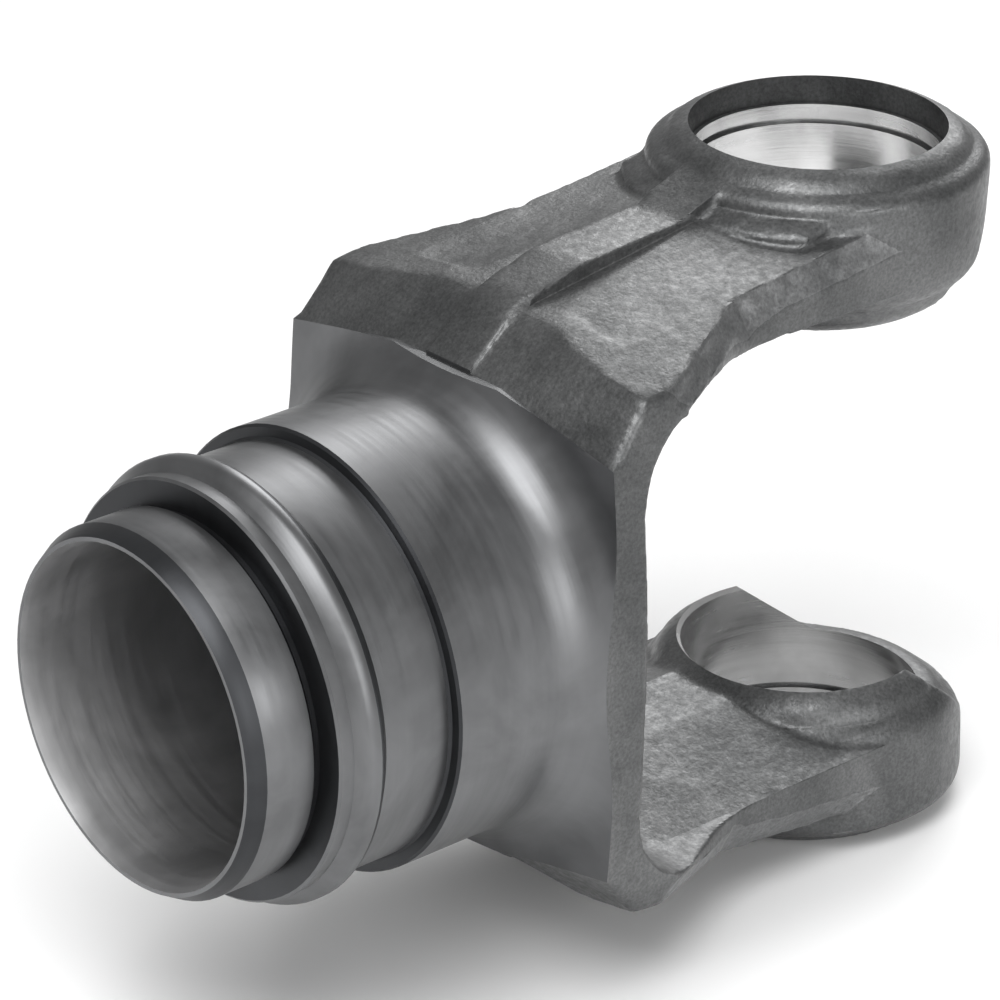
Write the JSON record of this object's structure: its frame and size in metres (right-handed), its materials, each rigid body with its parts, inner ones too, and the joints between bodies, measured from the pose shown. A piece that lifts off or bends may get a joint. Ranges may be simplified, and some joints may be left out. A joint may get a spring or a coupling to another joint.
{
  "type": "forged yoke",
  "caption": "Forged steel driveshaft weld yoke: turned stepped hub with a pilot, flared neck, and two arms with bored ears for a universal-joint cross.",
  "frame": {"origin": "joint centre: the hub axis meets the axis of the two bearing bores", "axes": "+Z along the bearing bores, -X out of the hub's mouth, the arms reach along +X past the origin"},
  "size_m": [0.2049, 0.096, 0.146],
  "materials": {
    "forged_steel": "as-forged, shot-blasted and oiled",
    "machined_steel": "fine turned and bored"
  },
  "bodies": {
    "root": {"forged_yoke": "forged_steel"}
  },
  "joints": []
}
